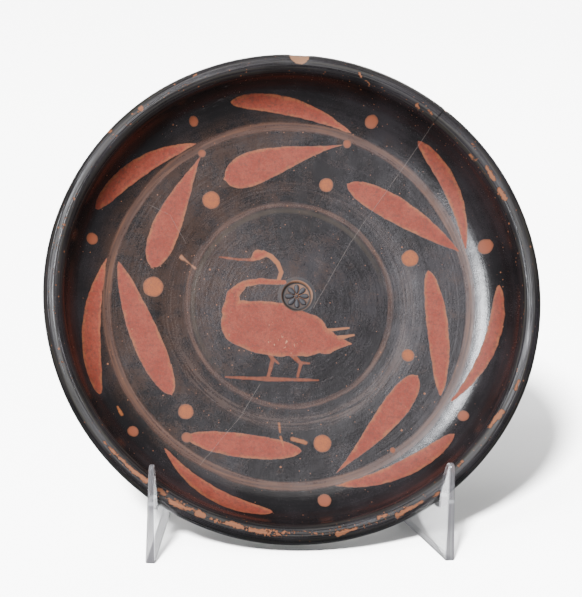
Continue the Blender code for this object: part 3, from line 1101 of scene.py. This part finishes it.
# %% Places of the wear
RIM_WEAR = [
    (0, 0.16), (20, 0.18), (26, 0.26), (34, 0.28), (45, 0.24), (60, 0.20), (84, 0.16), (110, 0.20),
    (132, 0.30), (145, 0.22), (165, 0.28), (182, 0.30), (205, 0.22), (217, 0.30), (224, 0.32),
    (232, 0.26), (238, 0.36), (247, 0.40), (262, 0.42), (272, 0.36), (280, 0.38), (292, 0.36),
    (301, 0.28), (318, 0.22), (323, 0.28), (329, 0.22),
]
FLAKES = [
    ((61.8, 40.9), (64.0, 36.9), 0.45, 0.65), ((65.6, 33.6), (67.5, 30.6), 0.65, 0.75),
    ((69.6, -27.2), (68.2, -30.6), 0.30, 0.40), ((63.8, -37.4), (60.0, -42.0), 0.95, 0.55),
    ((50.9, -52.9), (49.6, -54.3), 0.40, 0.40), ((43.4, -62.6), (41.4, -63.9), 0.45, 0.35),
    ((38.0, -65.2), (30.2, -69.5), 0.40, 0.85), ((26.6, -69.3), (24.2, -70.2), 0.45, 0.45),
    ((17.6, -73.3), (11.6, -75.0), 0.45, 0.85), ((-59.6, -46.2), (-55.8, -50.2), 0.35, 0.45),
    ((-55.8, -50.2), (-51.4, -54.6), 0.45, 0.55), ((-51.4, -54.6), (-47.0, -58.2), 0.55, 0.80),
    ((-42.8, -61.2), (-41.4, -62.3), 0.75, 0.70), ((-39.3, -64.9), (-33.6, -67.3), 0.85, 0.55),
    ((-31.0, -68.4), (-29.3, -69.1), 1.00, 0.90), ((-22.2, -71.3), (-17.6, -72.7), 0.85, 0.60),
    ((-15.2, -73.6), (-10.8, -74.4), 0.80, 0.80), ((22.1, 71.3), (22.7, 70.0), 0.30, 0.40),
    ((24.3, 69.0), (25.2, 68.0), 0.30, 0.35), ((40.1, 61.2), (41.0, 60.2), 0.35, 0.25),
    ((44.0, 59.2), (44.9, 58.2), 0.30, 0.30), ((56.9, 45.2), (58.4, 43.3), 0.35, 0.45),
    ((-30.8, 69.9), (-29.9, 70.3), 0.30, 0.30),
]
FIELD_HAIRLINES = [
    ((29.1, 33.6), (19.6, 19.5)), ((19.6, 19.5), (7.6, -1.1)), ((-9.6, -25.4), (-19.0, -40.0)),
]
DISH_HAIRLINES = [
    ((49.4, 60.0), (45.2, 55.3)), ((45.2, 55.3), (21.8, 22.8)), ((-15.0, -34.5), (-29.2, -51.3)),
]
FAINT_HAIRLINES = [((-44.0, 32.0), (-37.6, 28.8)), ((-37.6, 28.8), (-31.4, 17.6))]
SMEARS = [
    ((-4.1, -37.6), (-3.8, -41.0), 0.35, 0.25), ((-3.7, -42.4), (-2.9, -45.3), 0.30, 0.20),
    ((0.2, -43.2), (4.2, -44.4), 0.75, 0.45), ((-54.8, -33.2), (-53.5, -35.6), 0.25, 0.45),
]
LIP_HAIRLINE = [((45.2, 55.3), (50.2, 61.0))]
PALE_SCUFF = [((-34.2, 15.4), (-29.8, 11.9), 0.5, 0.2)]
KNOBS = [((19.5, 52.3), 1.3), ((-27.2, 48.9), 1.2), ((-33.2, -42.6), 1.6), ((31.5, -47.0), 0.9)]

hairline_count = len(FIELD_HAIRLINES + DISH_HAIRLINES + FAINT_HAIRLINES + LIP_HAIRLINE)
print("flakes:", len(FLAKES), "hairline pieces:", hairline_count)

# %% [markdown]
# How the wear looks. Chips show the orange clay: small ones as cells of a Voronoi pattern, of which
# a random few are kept, and larger ragged patches along the crest of the lip, whose amount round
# the rim comes from a colour ramp on the angle. A hairline is a very thin stroke that noise pushes
# about and fades.

# %% Chips, worn crest and hairlines
CREST_RADIUS = 74.9
HAIR_WIDTH = 0.13


def specks(clay, per_mm, kept, size, scatter):
    """Small chips: a random share of Voronoi cells, each a ragged spot."""
    cells = clay.finish.node("ShaderNodeTexVoronoi", {"voronoi_dimensions": "3D"}, {
        "Vector": clay.place, "Scale": per_mm, "Randomness": 1.0}).socket.node
    distance = Wire(clay.finish, cells.outputs["Distance"])
    chance, girth, _ = parts_of(Wire(clay.finish, cells.outputs["Color"]))
    reach = (girth * 0.6 + 0.4 + clay.ragged * 0.25) * (size * per_mm)
    spot = soft_step(reach - distance, 0.0, 0.12 * per_mm)
    return spot * soft_step(chance + scatter, 1.0 - kept, 1.001 - kept)


def rim_wear_round(clay):
    """How much the crest is worn, round the rim."""
    share = clay.v.maths("ARCTAN2", clay.v, clay.u) / (2 * math.pi)
    round_share = share.maths("FRACT", share + 1.0)
    stops = [(degrees / 360, (amount, amount, amount, 1.0)) for degrees, amount in RIM_WEAR]
    stops.append((1.0, stops[0][1]))
    return clay.finish.node("ShaderNodeValToRGB", {"stops": stops}, {"Fac": round_share})


def worn_crest(clay):
    """Orange flakes off the crest of the lip, and small ragged patches round them."""
    near_crest = near(clay.radius, CREST_RADIUS, 2.3, 0.3)
    broken = grain(clay.place, 0.9, 4.0, 0.7) * 0.6 + clay.cloud * 0.2
    broken = broken + clay.wheel_lines(along=14.0, across=0.9) * 0.3
    patches = soft_step(broken + rim_wear_round(clay) * 0.5 + near_crest * 0.2, 0.965, 0.99)
    flakes = strokes(clay, FLAKES) + clay.ragged * 1.5 + (clay.stain - 0.45) * 1.6
    return most(patches, inside(flakes, 0.12)) * soft_step(clay.height, -3.2, -2.2)


def hairlines(clay, lines, width=HAIR_WIDTH):
    """Thin wandering cracks that show and fade."""
    push = (grain(clay.place, 0.4) - 0.5) * 0.5
    shapes = []
    for base, tip in lines:
        s, t, length = along_and_across(clay, Vector(base), Vector(tip))
        shapes.append(abs(t + push) + abs(s - held_between(s, 0.0, 1.0)) * length)
    return soft_step(nearest(shapes), width, width * 0.4) * soft_step(clay.stain, 0.30, 0.52)


print("crest at radius", CREST_RADIUS, "hairlines", HAIR_WIDTH, "mm either side")

# %% [markdown]
# Added red is a clay too: matt, pinkish in the middle of a stroke and orange where it ends or has
# rubbed thin. The rings are thinner washes with streaks from the brush. Every finish below starts
# from the slip and lays these over it from the bottom up.

# %% Colours of the paints
RED_CORE = (0.225, 0.028, 0.012, 1.0)
RED_PALE = (0.305, 0.058, 0.030, 1.0)
RED_EDGE = (0.330, 0.108, 0.036, 1.0)
DOT_CORE = (0.350, 0.092, 0.022, 1.0)
DOT_RED = (0.240, 0.062, 0.026, 1.0)
DOT_BRINK = (0.150, 0.050, 0.020, 1.0)
STEM_WASH = (0.066, 0.031, 0.021, 1.0)
STEM_STREAK = (0.130, 0.055, 0.029, 1.0)
OLIVE_WASH = (0.060, 0.044, 0.029, 1.0)
WORN_BAND = (0.056, 0.029, 0.020, 1.0)
STAMP_TAN = (0.27, 0.130, 0.072, 1.0)
STAMP_DARK = (0.050, 0.030, 0.023, 1.0)
STAMP_PETAL = (0.040, 0.038, 0.043, 1.0)
HAIR_GREY = (0.25, 0.21, 0.185, 1.0)
SCRATCH_PALE = (0.50, 0.22, 0.12, 1.0)

print("red:", RED_CORE[:3], "to", RED_EDGE[:3])

# %% [markdown]
# How each paint lies. A paint takes the plate's places, the colour so far and a shape, and gives
# back the colour with the paint on it and the mask that it covers, which later makes it matt.

# %% Paints
PAINT_ROUGHNESS = 0.68
CLAY_IOR = 1.5


def paint_red(clay, colour, shape, edge_width):
    """Added red in a shape: orange at its edge, mottled, thin in patches, with painted shade up the
    wall.
    """
    edge = shape + clay.ragged * 0.75
    mottled = lay_over(soft_step(clay.cloud + clay.fine * 1.7, 0.22, 0.80), RED_CORE, RED_PALE)
    rim = soft_step(edge + clay.ragged * 1.3 + clay.fine, -edge_width, -0.1)
    red = lay_over(rim * (soft_step(clay.cloud, 0.36, 0.62) * 0.6 + 0.22), mottled, RED_EDGE)
    thin = soft_step(clay.stain + clay.fine * 0.9, 0.46, 0.72) * 0.55
    # Painted shade: up the wall the red turns browner, where the light is dimmer.
    red = lay_over(thin + soft_step(clay.radius, 59.0, 68.0) * 0.22, red, SLIP_BROWN)
    mask = inside(edge, 0.18)
    return lay_over(mask, colour, red), mask


def paint_dabs(clay, colour, shape):
    """Thick round dabs: tan near the middle field, redder on the wall, with a dark brink."""
    dab = shape + clay.ragged * 0.6
    tan = lay_over(soft_step(clay.radius, 50.0, 54.0), DOT_CORE, DOT_RED)
    tan = lay_over(soft_step(clay.stain + clay.fine * 1.6, 0.44, 0.62) * 0.75, tan, DOT_RED)
    tan = lay_over(soft_step(dab + clay.fine * 0.6, -0.7, -0.1) * 0.7, tan, DOT_BRINK)
    mask = inside(dab, 0.16)
    return lay_over(mask, colour, tan), mask


def paint_ring(clay, colour, radius, half_width, sway, strength):
    """A turned band in a thin streaky wash."""
    shape = ring(clay, radius, half_width, sway)
    wash = lay_over(soft_step(clay.streaks, 0.42, 0.72), STEM_WASH, STEM_STREAK)
    worn = soft_step(clay.stain + clay.streaks, 0.62, 1.0)
    mask = inside(shape + clay.ragged * 0.7, 0.45) * (worn * 0.4 + 0.6) * strength
    return lay_over(mask, colour, wash), mask


def paint_step(clay, colour):
    """The worn brown band where the centre field's edge steps up, stronger in the lower half."""
    band = soft_step(abs(clay.radius - TONDO_RADIUS + 0.4 + clay.ragged * 1.2), 3.0, 0.8)
    band = band * soft_step(clay.streaks + clay.fine * 0.4, 0.32, 0.66)
    band = band * (soft_step(clay.v, 25.0, -25.0) * 0.45 + 0.25)
    return lay_over(band, colour, WORN_BAND), band


def paint_chips(clay, colour, more):
    """Small chips down to the orange clay, more of them where asked."""
    chips = most(specks(clay, per_mm=0.52, kept=0.034, size=0.42, scatter=more * 0.10),
                 specks(clay, per_mm=1.3, kept=0.045, size=0.26, scatter=more * 0.06))
    return lay_over(chips * 0.9, colour, BARE_CLAY), chips


def give_surface(clay, colour, matt, relief, dull=0.0):
    """Feed the shader: slip is glossy, and paint, chips and bare clay are matt. Relief is in mm."""
    rough = (slip_gloss(clay) + dull) * (1 - matt) + matt * PAINT_ROUGHNESS
    bump = clay.finish.node("ShaderNodeBump", {}, {
        "Strength": 1.0, "Distance": MM, "Height": relief})
    clay.finish.surface(Base_Color=colour, Roughness=rough, Normal=bump, IOR=CLAY_IOR)
    plate.data.materials.append(clay.finish.material)
    print("nodes in", clay.finish.material.name, ":", len(clay.finish.tree.nodes))


print("paints ready")

# %% [markdown]
# The centre field, from the bottom up: the slip, the brown band where its edge steps up, a thin
# ring and, inside it, a faint olive line that shows in the upper half.

# %% Centre field
FIELD_RING = 32.6
OLIVE_RING = 30.7

field = Clay(Finish("painted_field"))
picture, step_band = paint_step(field, slip_colour(field))
picture, ring_mask = paint_ring(field, picture, FIELD_RING,
                                half_width=0.75, sway=1.2, strength=0.58)
olive = soft_step(ring(field, OLIVE_RING, half_width=0.6, sway=1.2), 0.6, -0.4)
olive = olive * soft_step(field.v - field.u * 0.5, -16.0, 12.0)
picture = lay_over(olive * 0.5, picture, OLIVE_WASH)
print("rings at radius", FIELD_RING, "and", OLIVE_RING)

# %% [markdown]
# The swan goes on over them. Its red is edged with a finer orange line, as if it had been drawn
# round. Its thin strokes are orange, and the faint ones are redder and half worn away. Scratches, a
# hairline and chips then cut through the paint.

# %% Swan on the field
SCRATCH_HEART = (-3.0, -11.0)
FIELD_CHIPS = 35.0

faint_mask = inside(swan_shape(field, SWAN_FAINT) + field.ragged * 0.5, 0.22)
faint_mask = faint_mask * (soft_step(field.stain, 0.3, 0.6) * 0.35 + 0.5)
firm_mask = inside(swan_shape(field, SWAN_FIRM) + field.ragged * 0.5, 0.18)
picture = lay_over(faint_mask, picture, DOT_RED)
picture = lay_over(firm_mask * 0.92, picture, RED_EDGE)
swan_body = swan_shape(field, SWAN_FILLED) + 0.1
picture, swan_mask = paint_red(field, picture, swan_body, edge_width=1.5)
near_heart = soft_step(dot(field, SCRATCH_HEART, 0.0), 12.0, 1.0)
scuffs = grain(stretch(field.place, (1.0, 0.5, 0.5)), 1.1, 3.0, 0.65) + near_heart * 0.13
picture = lay_over(soft_step(scuffs, 0.745, 0.79) * swan_mask * 0.85, picture, SCRATCH_PALE)
picture = lay_over(hairlines(field, FIELD_HAIRLINES) * 0.36, picture, HAIR_GREY)
pale_scuff = inside(strokes(field, PALE_SCUFF) + field.ragged * 1.6, 0.3)
picture = lay_over(pale_scuff * 0.6, picture, SCRATCH_PALE)
field_band = near(field.radius, FIELD_CHIPS, 6.0, 1.0) * soft_step(field.v, -10.0, -28.0)
left_side = soft_step(length_of(stretch(field.flat, (1.0, 0.6, 0.0))) + field.u, 8.0, 0.0)
picture, field_chips = paint_chips(field, picture, field_band + left_side * 0.8)
print("scratches round", SCRATCH_HEART)

# %% [markdown]
# The stamp was pressed before the slip went on, so its colour follows its relief: tan clay where it
# is scuffed, and the slip left dark on the petals. A black ring in the groove round them is painted
# shade at the foot of the pressed wall. It is matt, and the matt reaches just past its rim, so that
# no glint outlines it.

# %% Stamp on the field
STAMP_SCUFF = (5.5, 6.0)

stamp_distance = dot(field, STAMP_PLACE, STAMP_RADIUS)
petal = field.finish.node("ShaderNodeAttribute", {"attribute_name": "petal"}, output=2)
to_scuff = soft_step(dot(field, STAMP_SCUFF, 0.0) + field.ragged * 2.0, 7.0, 1.5)
raised_rim = soft_step(abs(stamp_distance - 0.2) + field.fine, 0.75, 0.2)
stamp_floor = lay_over(to_scuff * 0.7, STAMP_DARK, STAMP_TAN)
stamp_floor = lay_over(soft_step(petal + field.fine * 0.6, 0.15, 0.6), stamp_floor, STAMP_PETAL)
# Painted shade: a black ring in the groove at the foot of the pressed wall.
stamp_floor = lay_over(near(stamp_distance, -0.55, 0.45, 0.1), stamp_floor, SLIP_BLACK)
stamp_floor = lay_over(raised_rim * (to_scuff * 0.85 + 0.08), stamp_floor, STAMP_TAN)
stamp_mask = soft_step(stamp_distance + field.ragged * 0.4, 0.45, 0.1)
picture = lay_over(stamp_mask, picture, stamp_floor)
stamp_matt = soft_step(stamp_distance, 1.5, 0.7) * 0.85
field_matt = most(swan_mask, firm_mask, field_chips, stamp_matt, step_band * 0.25)
give_surface(field, picture, field_matt + ring_mask * 0.2, slip_relief(field))

# %% [markdown]
# The dish: the wreath's round stem, its leaves and the dots between them, and the chips that gather
# below the centre field and along the upper edge of the wall.

# %% Dish with its wreath
DISH_CHIPS = 40.0

dish = Clay(Finish("painted_dish"))
picture, step_band = paint_step(dish, slip_colour(dish))
picture, stem_mask = paint_ring(dish, picture, STEM_RING, half_width=1.35, sway=1.8, strength=0.9)
picture, leaf_mask = paint_red(dish, picture, paint_leaves(dish), edge_width=1.0)
picture, dot_mask = paint_dabs(dish, picture, paint_dots(dish, OUTER_DOTS + INNER_DOTS + KNOBS))
smear = inside(strokes(dish, SMEARS) + dish.ragged, 0.25)
picture = lay_over(smear * 0.8, picture, RED_EDGE)
cracks = most(hairlines(dish, DISH_HAIRLINES) * 0.36, hairlines(dish, FAINT_HAIRLINES) * 0.25)
picture = lay_over(cracks, picture, HAIR_GREY)
lower_band = near(dish.radius, DISH_CHIPS, 6.0, 1.0) * soft_step(dish.v, -12.0, -30.0)
upper_edge = soft_step(dish.radius, 70.6, 71.6) * soft_step(dish.u + dish.v, 40.0, 70.0)
picture, dish_chips = paint_chips(dish, picture, lower_band + upper_edge * 4.0)
dish_matt = most(leaf_mask, dot_mask, dish_chips, step_band * 0.25)
give_surface(dish, picture, dish_matt + stem_mask * 0.2, slip_relief(dish))

# %% [markdown]
# The lip took the knocks. Its crest is worn to the clay in ragged patches, and its chips are pale.
# Fine lines that the potter's rib scored round it show olive, and they dull and break its gloss.

# %% Lip
LIP_SPECULAR = 0.42

lip = Clay(Finish("worn_lip"))
crest = worn_crest(lip)
scored = lip.wheel_lines(along=2.0, across=2.4)
picture = lay_over(soft_step(scored, 0.48, 0.66) * 0.7, slip_colour(lip), SLIP_OLIVE)
bare = lay_over(soft_step(lip.ragged + lip.fine, 0.1, 0.8), BARE_CLAY, PALE_CLAY)
picture = lay_over(crest, picture, bare)
lip_crack = hairlines(lip, LIP_HAIRLINE, width=0.22)
picture = lay_over(lip_crack, picture, SLIP_BLACK)
chip_spots = nearest(dot(lip, place, reach * 0.9) for place, reach, _ in CHIPS)
chip_mask = inside(chip_spots + lip.ragged * 1.6, 0.15) * soft_step(lip.height, -3.6, -2.6)
chip_clay = lay_over(soft_step(lip.v, 66.0, 72.0), BARE_CLAY, PALE_CLAY)
picture = lay_over(chip_mask, picture, chip_clay)
upper_edge = soft_step(lip.radius, 73.4, 72.2) * soft_step(lip.u + lip.v, 40.0, 70.0)
picture, lip_chips = paint_chips(lip, picture, upper_edge * 4.0 + 0.8)
lip_relief = slip_relief(lip) + scored * 0.20 - crest * 0.15 - lip_crack * 0.2
lip_matt = most(crest, chip_mask, lip_chips)
give_surface(lip, picture, lip_matt, lip_relief, dull=soft_step(scored, 0.38, 0.60) * 0.32)
lip.finish.surface(Specular_IOR_Level=LIP_SPECULAR)

# %% [markdown]
# The underside was held by its foot when it was dipped, and it stood on shelves for years: the
# foot's resting ring and its hollow are bare clay, and the slip above them is thinner and browner.

# %% Underside, stem and foot
under = Clay(Finish("slipped_underside"))
rubbed = (grain(under.place, 0.25, 4.0, 0.62) - 0.5) * 3.0
foot_height = under.height + PLATE_HEIGHT
hollow_side = foot_height * -0.9 + FOOT_RADIUS - 3.6
in_hollow = inside(under.radius - hollow_side + rubbed * 0.35, 0.4)
in_hollow = in_hollow * soft_step(foot_height, FOOT_HOLLOW + 0.5, FOOT_HOLLOW)
rest_ring = soft_step(foot_height + rubbed * 0.3, 0.9, 0.3)
foot_edge = soft_step(under.radius, 28.4, 29.6) * soft_step(foot_height, FOOT_EDGE + 1.5, FOOT_EDGE)
chipped_edge = foot_edge * soft_step(grain(under.place, 0.6, 4.0, 0.7), 0.54, 0.58)
bare_mask = most(in_hollow, rest_ring, chipped_edge)
dipped = soft_step(under.wheel_lines(along=1.4, across=0.35) + under.cloud * 0.5, 0.66, 0.92)
picture = lay_over(dipped * 0.7, slip_colour(under), SLIP_BROWN)
bare = lay_over(soft_step(under.cloud, 0.3, 0.7), BARE_CLAY, PALE_CLAY)
picture, under_chips = paint_chips(under, lay_over(bare_mask, picture, bare), 0.0)
give_surface(under, picture, most(bare_mask, under_chips), slip_relief(under))

# %% [markdown]
# The easel is clear acrylic. What lets one see through it are plain values on the shader:
# transmission, the index of refraction and an alpha, since the sheet takes little from what is
# behind it. Its sawn and polished edges gather light from the whole sheet, so they look paler and
# thicker: that light is painted into their colour as a painted highlight, brightest along both
# sides and in a line across each finger where it narrows.

# %% Clear acrylic
ACRYLIC_TINT = (0.74, 0.735, 0.76, 1.0)
ACRYLIC_IOR = 1.49
SHEET_ALPHA = 0.50
SHEET_TRANSMISSION = 0.85
EDGE_TRANSMISSION = 0.15
EDGE_GREY = (0.26, 0.25, 0.262, 1.0)
# The paler colour of the painted highlight on the edges.
EDGE_HIGHLIGHT = (0.64, 0.635, 0.65, 1.0)
# Height in mm of the painted highlight line across the fingers.
FINGER_HIGHLIGHT_HEIGHT = 18.7
SCRATCH_DEPTH = 0.04 * MM


def acrylic_touch(finish):
    """Fingerprints as roughness and fine scratches as a bump."""
    spot = finish.node("ShaderNodeTexCoord", output=3)
    smudges = grain(spot, 45.0, 3.0)
    scratches = grain(stretch(spot, (1.0, 6.0, 1.4)), 260.0, 2.0)
    rough = 0.03 + soft_step(smudges, 0.45, 0.75) * 0.06
    bump = finish.node("ShaderNodeBump", {}, {
        "Strength": 0.03, "Distance": SCRATCH_DEPTH, "Height": scratches})
    return spot, rough, bump


clear = Finish("clear_acrylic")
_, clear_rough, clear_bump = acrylic_touch(clear)
clear.surface(Base_Color=ACRYLIC_TINT, Roughness=clear_rough, Normal=clear_bump, IOR=ACRYLIC_IOR,
              Transmission_Weight=SHEET_TRANSMISSION, Alpha=SHEET_ALPHA)
easel.data.materials.append(clear.material)
print("nodes in the clear sheet:", len(clear.tree.nodes))

# %% [markdown]
# The edges have a finish of their own. The attribute kept while bending says how far a place lies
# across the thickness, which places the painted highlight along both sides, and its height above
# the paper finds the painted highlight line across the fingers. Below that line the edge is a
# little denser.

# %% Polished edges
edge = Finish("acrylic_edge")
edge_spot, edge_rough, edge_bump = acrylic_touch(edge)
across = edge.node("ShaderNodeAttribute", {"attribute_name": "across"}, output=2)
# Painted highlight along both sides of each edge.
side_highlight = soft_step(abs(across), 0.68, 0.98)
edge_height = parts_of(edge_spot)[2] / MM
# Painted highlight in a line across each finger where it narrows.
finger_highlight = near(edge_height, FINGER_HIGHLIGHT_HEIGHT, 1.0, 0.3)
body = soft_step(edge_height, FINGER_HIGHLIGHT_HEIGHT, FINGER_HIGHLIGHT_HEIGHT - 1.0)
# Painted highlight in streaks along the edges.
highlight_streak = soft_step(grain(stretch(edge_spot, (900.0, 900.0, 40.0)), 1.0, 2.0), 0.4, 0.7)
# All the painted highlights as one mask: under it the edge is paler and denser.
painted_highlight = most(side_highlight, finger_highlight * 0.9, highlight_streak * 0.35)
edge_colour = lay_over(painted_highlight, EDGE_GREY, EDGE_HIGHLIGHT)
edge.surface(Base_Color=edge_colour, Roughness=edge_rough, Normal=edge_bump, IOR=ACRYLIC_IOR,
             Alpha=most(painted_highlight * 0.95, body * 0.36 + 0.5), Transmission_Weight=EDGE_TRANSMISSION)
easel.data.materials.append(edge.material)
print("nodes in the edges:", len(edge.tree.nodes))

# %% [markdown]
# The paper is plain and pale, with only a faint tooth.

# %% Finish of the paper
PAPER_WHITE = (0.86, 0.86, 0.855, 1.0)
PAPER_ROUGHNESS = 0.9
TOOTH_DEPTH = 0.2 * MM

paper_finish = Finish("pale_paper")
paper_spot = paper_finish.node("ShaderNodeTexCoord", output=3)
tooth = grain(paper_spot, 400.0, 3.0)
paper_bump = paper_finish.node("ShaderNodeBump", {}, {
    "Strength": 0.1, "Distance": TOOTH_DEPTH, "Height": tooth})
paper_finish.surface(Base_Color=PAPER_WHITE, Roughness=PAPER_ROUGHNESS, Normal=paper_bump)
paper.data.materials.append(paper_finish.material)
print("paper ready")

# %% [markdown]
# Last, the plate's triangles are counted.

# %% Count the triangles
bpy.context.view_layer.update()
triangles = sum(len(face.vertices) - 2 for face in plate.data.polygons)
print("triangles in the plate:", triangles)
